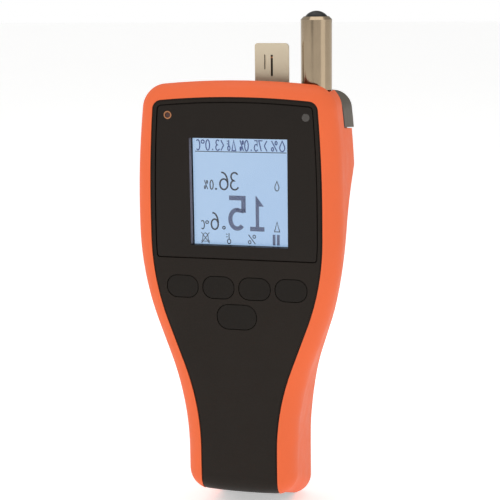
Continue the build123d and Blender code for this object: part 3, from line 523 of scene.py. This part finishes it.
def display_figures():
    """The thin figures and marks: a reading at the top, one in the middle and small marks round them."""
    bm = bmesh.new()
    write(bm, "36", -10.6, -0.6, 0.7, 8.7, 0.75)
    write(bm, ".", -12.6, -11.2, 0.5, 6.5, 0.9)
    write(bm, "0", -15.0, -13.0, 0.7, 4.9, 0.5)
    write(bm, "%", -17.8, -15.6, 0.7, 4.9, 0.4)
    write(bm, "6", -15.0, -10.6, -18.2, -10.4, 0.75)
    stroke(bm, on_screen(arc((-8.4, -17.3), (0.62, 0.62), 0, 330, 11)), 0.5 * MM, PRINT_DEPTHS, True)
    write(bm, "oC", -19.8, -15.4, -18.2, -14.2, 0.45)
    write(bm, ["drop"], 15.6, 18.6, 0.7, 5.2, 0.4)
    write(bm, ["peak"], 15.4, 18.6, -18.4, -13.8, 0.4)
    write(bm, ["bell"], -20.0, -14.9, -24.9, -19.8, 0.34)
    write(bm, ["stem"], -7.8, -4.2, -24.8, -19.8, 0.4)
    write(bm, "%", 2.6, 7.4, -24.6, -20.2, 0.4)
    stroke(bm, on_screen([(-21.7, 18.3), (21.7, 18.3)]), 0.35 * MM, PRINT_DEPTHS)
    add_piece("display_figures", bm, "case", ink("display_ink_finish", (4, 8, 26)))
    bm = bmesh.new()
    write(bm, [">", "7", "5", ".", "0", "%"], -0.4, 13.0, 18.9, 23.7, 0.5)
    write(bm, ["drop", "%"], 14.2, 21.6, 18.9, 23.7, 0.5)
    write(bm, ["peak", "stem"], -6.6, -1.9, 18.9, 23.7, 0.5)
    write(bm, ["<", "3", ".", "0", "o", "C"], -21.4, -7.3, 18.9, 23.7, 0.5)
    add_piece("display_status_row", bm, "case", ink("display_status_finish", (18, 40, 92)))


def main_figures():
    """The large reading in heavier, greyer dots, with the pause bars at the lower right."""
    bm = bmesh.new()
    stem = [(6.9, -16.4), (6.9, -2.0), (7.3, -2.0), (10.8, -6.8), (8.5, -6.8), (8.5, -16.4)]
    foot = bar(4.2, 11.0, -18.5, -16.4)
    flag = bar(-5.7, 2.2, -4.2, -2.0)
    neck = bar(0.1, 2.2, -9.9, -4.2)
    pause = [bar(left, left + 1.3, -24.8, -19.8) for left in (14.9, 16.9)]
    for outline in [stem, foot, flag, neck] + pause:
        plate(bm, on_screen(outline), PRINT_DEPTHS)
    bowl = arc((-2.0, -13.1), (3.25, 4.4), 62, 318, 22)
    stroke(bm, on_screen([(2.2, -8.9), (-1.0, -8.9)] + bowl), 2.0 * MM, PRINT_DEPTHS)
    add_piece("display_main_figures", bm, "case", ink("display_main_finish", (58, 66, 92)))


display_figures()
main_figures()


def window_sheet():
    """The clear window as its own thin sheet, a little in front of the display."""
    low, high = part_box("display_window")
    bm = bmesh.new()
    corner = 1.2 * MM
    centres = [((high.x, high.z), (-1, -1), 0), ((low.x, high.z), (1, -1), 90),
               ((low.x, low.z), (1, 1), 180), ((high.x, low.z), (-1, 1), 270)]
    points = []
    for (x, z), (dx, dz), start in centres:
        points += arc((x + dx * corner, z + dz * corner), (corner, corner), start, start + 90, 6)
    plate(bm, points, (low.y, high.y - 0.3 * MM))
    rims = [edge for edge in bm.edges if abs(edge.verts[0].co.y - edge.verts[1].co.y) < 1e-7]
    bmesh.ops.bevel(bm, geom=rims, offset=0.15 * MM, segments=2, affect="EDGES")
    piece = add_piece("window_sheet", bm, "case", FINISHES["clear_window"])
    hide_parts("display_window")


window_sheet()


def opening_wall():
    """The left wall of the display's opening, coloured pale grey-violet as painted light from the lit
    display, and the black border of the display next to it.
    """
    bezel_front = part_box("display_bezel")[0].y
    window_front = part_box("display_window")[0].y
    bm = bmesh.new()
    wall_depths = (bezel_front + 0.2 * MM, window_front - 0.05 * MM)
    plate(bm, on_screen(bar(-23.13, -23.05, -24.9, 24.9)), wall_depths)
    # painted light: the wall's pale grey-violet colour stands in for the display's light falling on the
    # opening's edge
    wall = moulded("opening_wall_painted_light_finish", (108, 106, 118), 0.6, 0.0006, 0.00001, 0.1, 0.1)
    add_piece("opening_wall", bm, "case", wall)
    bm = bmesh.new()
    plate(bm, on_screen(bar(-23.6, -22.75, -26.0, 26.0)), PRINT_DEPTHS)
    border = moulded("display_border_finish", (16, 16, 22), 0.5, 0.0005, 0.00001, 0.1, 0.2)
    add_piece("display_border", bm, "case", border)


opening_wall()


SLOT_HALF, SLOT_FOOT, SLOT_TOP = 0.62 * MM, 30.8 * MM, 41.1 * MM
LINE_OFFSET, LINE_HALF, LINE_FOOT, LINE_TOP = 3.35 * MM, 0.16 * MM, 34.2 * MM, 40.9 * MM


def blade_slots():
    """Dark backing seen through the blade's slot, and the dark line scribed beside it."""
    low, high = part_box("surface_blade")
    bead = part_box("temperature_bead")
    middle = (low.x + high.x) / 2
    bm = bmesh.new()
    for bottom, top in ((SLOT_FOOT, bead[0].z), (bead[1].z, SLOT_TOP)):
        backing = bar(middle - SLOT_HALF, middle + SLOT_HALF, bottom, top)
        plate(bm, backing, (high.y + 0.02 * MM, high.y + 0.12 * MM))
    line = middle - LINE_OFFSET
    scribed = bar(line - LINE_HALF, line + LINE_HALF, LINE_FOOT, LINE_TOP)
    plate(bm, scribed, (low.y - 0.03 * MM, low.y + 0.05 * MM))
    add_piece("blade_slot_backing", bm, "case", FINISHES["seal_rubber"])


blade_slots()

HEAD_HALF = cad_box[1].x
CHEEK_R, CROWN_R, GUARD_CORNER_R = 0.425, 0.366, 0.009
CHEEK_CENTRE = (HEAD_HALF - CHEEK_R, -0.033)
GUARD_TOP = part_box("sensor_guard")[1].z
GUARD_FOOT = 0.0078  # where its flanges end above the origin
GUARD_FRONT = -0.0240
# inset, width and depths of the black strips of painted shade along the guard's front edge
SHADE_STRIP_INSET, SHADE_STRIP_WIDTH = 0.2 * MM, 0.5 * MM
SHADE_STRIP_DEPTHS = (GUARD_FRONT - 0.3 * MM, GUARD_FRONT + 1.7 * MM)


def guard_outline(inset):
    """The guard's outline at its right end, from the flange's foot to the crown, drawn in by inset."""
    crown_centre = (0.0, GUARD_TOP - CROWN_R)
    z = 0.0
    for _ in range(30):  # x and z close in on the corner's centre
        x = CHEEK_CENTRE[0] + math.sqrt((CHEEK_R - GUARD_CORNER_R) ** 2 - (z - CHEEK_CENTRE[1]) ** 2)
        z = crown_centre[1] + math.sqrt((CROWN_R - GUARD_CORNER_R) ** 2 - x**2)
    start = math.degrees(math.atan2(z - CHEEK_CENTRE[1], x - CHEEK_CENTRE[0]))
    end = math.degrees(math.atan2(z - crown_centre[1], x - crown_centre[0]))
    foot = math.degrees(math.asin((GUARD_FOOT - CHEEK_CENTRE[1]) / CHEEK_R))
    radius = GUARD_CORNER_R - inset
    cheek = arc(CHEEK_CENTRE, (CHEEK_R - inset,) * 2, foot, start, 12)
    corner = arc((x, z), (radius, radius), start, end, 18)
    return cheek[:-1] + corner


def guard_shade_strips():
    """A black strip of painted shade round the guard's front edge, at both ends of the guard: it stands in
    for the shadow in the gap where the guard steps down from the orange bumper.
    """
    for name, side in (("guard_shade_strip_right", 1), ("guard_shade_strip_left", -1)):
        bm = bmesh.new()
        path = [(side * x, z) for x, z in guard_outline(SHADE_STRIP_INSET)]
        # painted shade: this black strip stands in for the shadow where the guard steps down from the
        # bumper
        stroke(bm, path, SHADE_STRIP_WIDTH, SHADE_STRIP_DEPTHS)
        add_piece(name, bm, "guard", FINISHES["seal_rubber"])


guard_shade_strips()


# ------------------------------------------------------------ floor
def make_floor():
    """A plain pale floor under the meter's foot."""
    bm = bmesh.new()
    bmesh.ops.create_grid(bm, x_segments=8, y_segments=8, size=6.0)
    mesh = bpy.data.meshes.new("floor")
    bm.to_mesh(mesh)
    bm.free()
    floor = bpy.data.objects.new("floor", mesh)
    floor.location.z = cad_box[0].z - 0.2 * MM
    recipe = Recipe("floor_finish")
    recipe.put("Base Color", recipe.mix(recipe.noise(0.3), (0.9, 0.9, 0.9, 1), (0.93, 0.93, 0.93, 1)))
    recipe.put("Roughness", 0.7)
    recipe.put("Emission Color", (1, 1, 1, 1))
    recipe.put("Emission Strength", 0.45)
    mesh.materials.append(recipe.material)
    bpy.context.scene.collection.objects.link(floor)


make_floor()
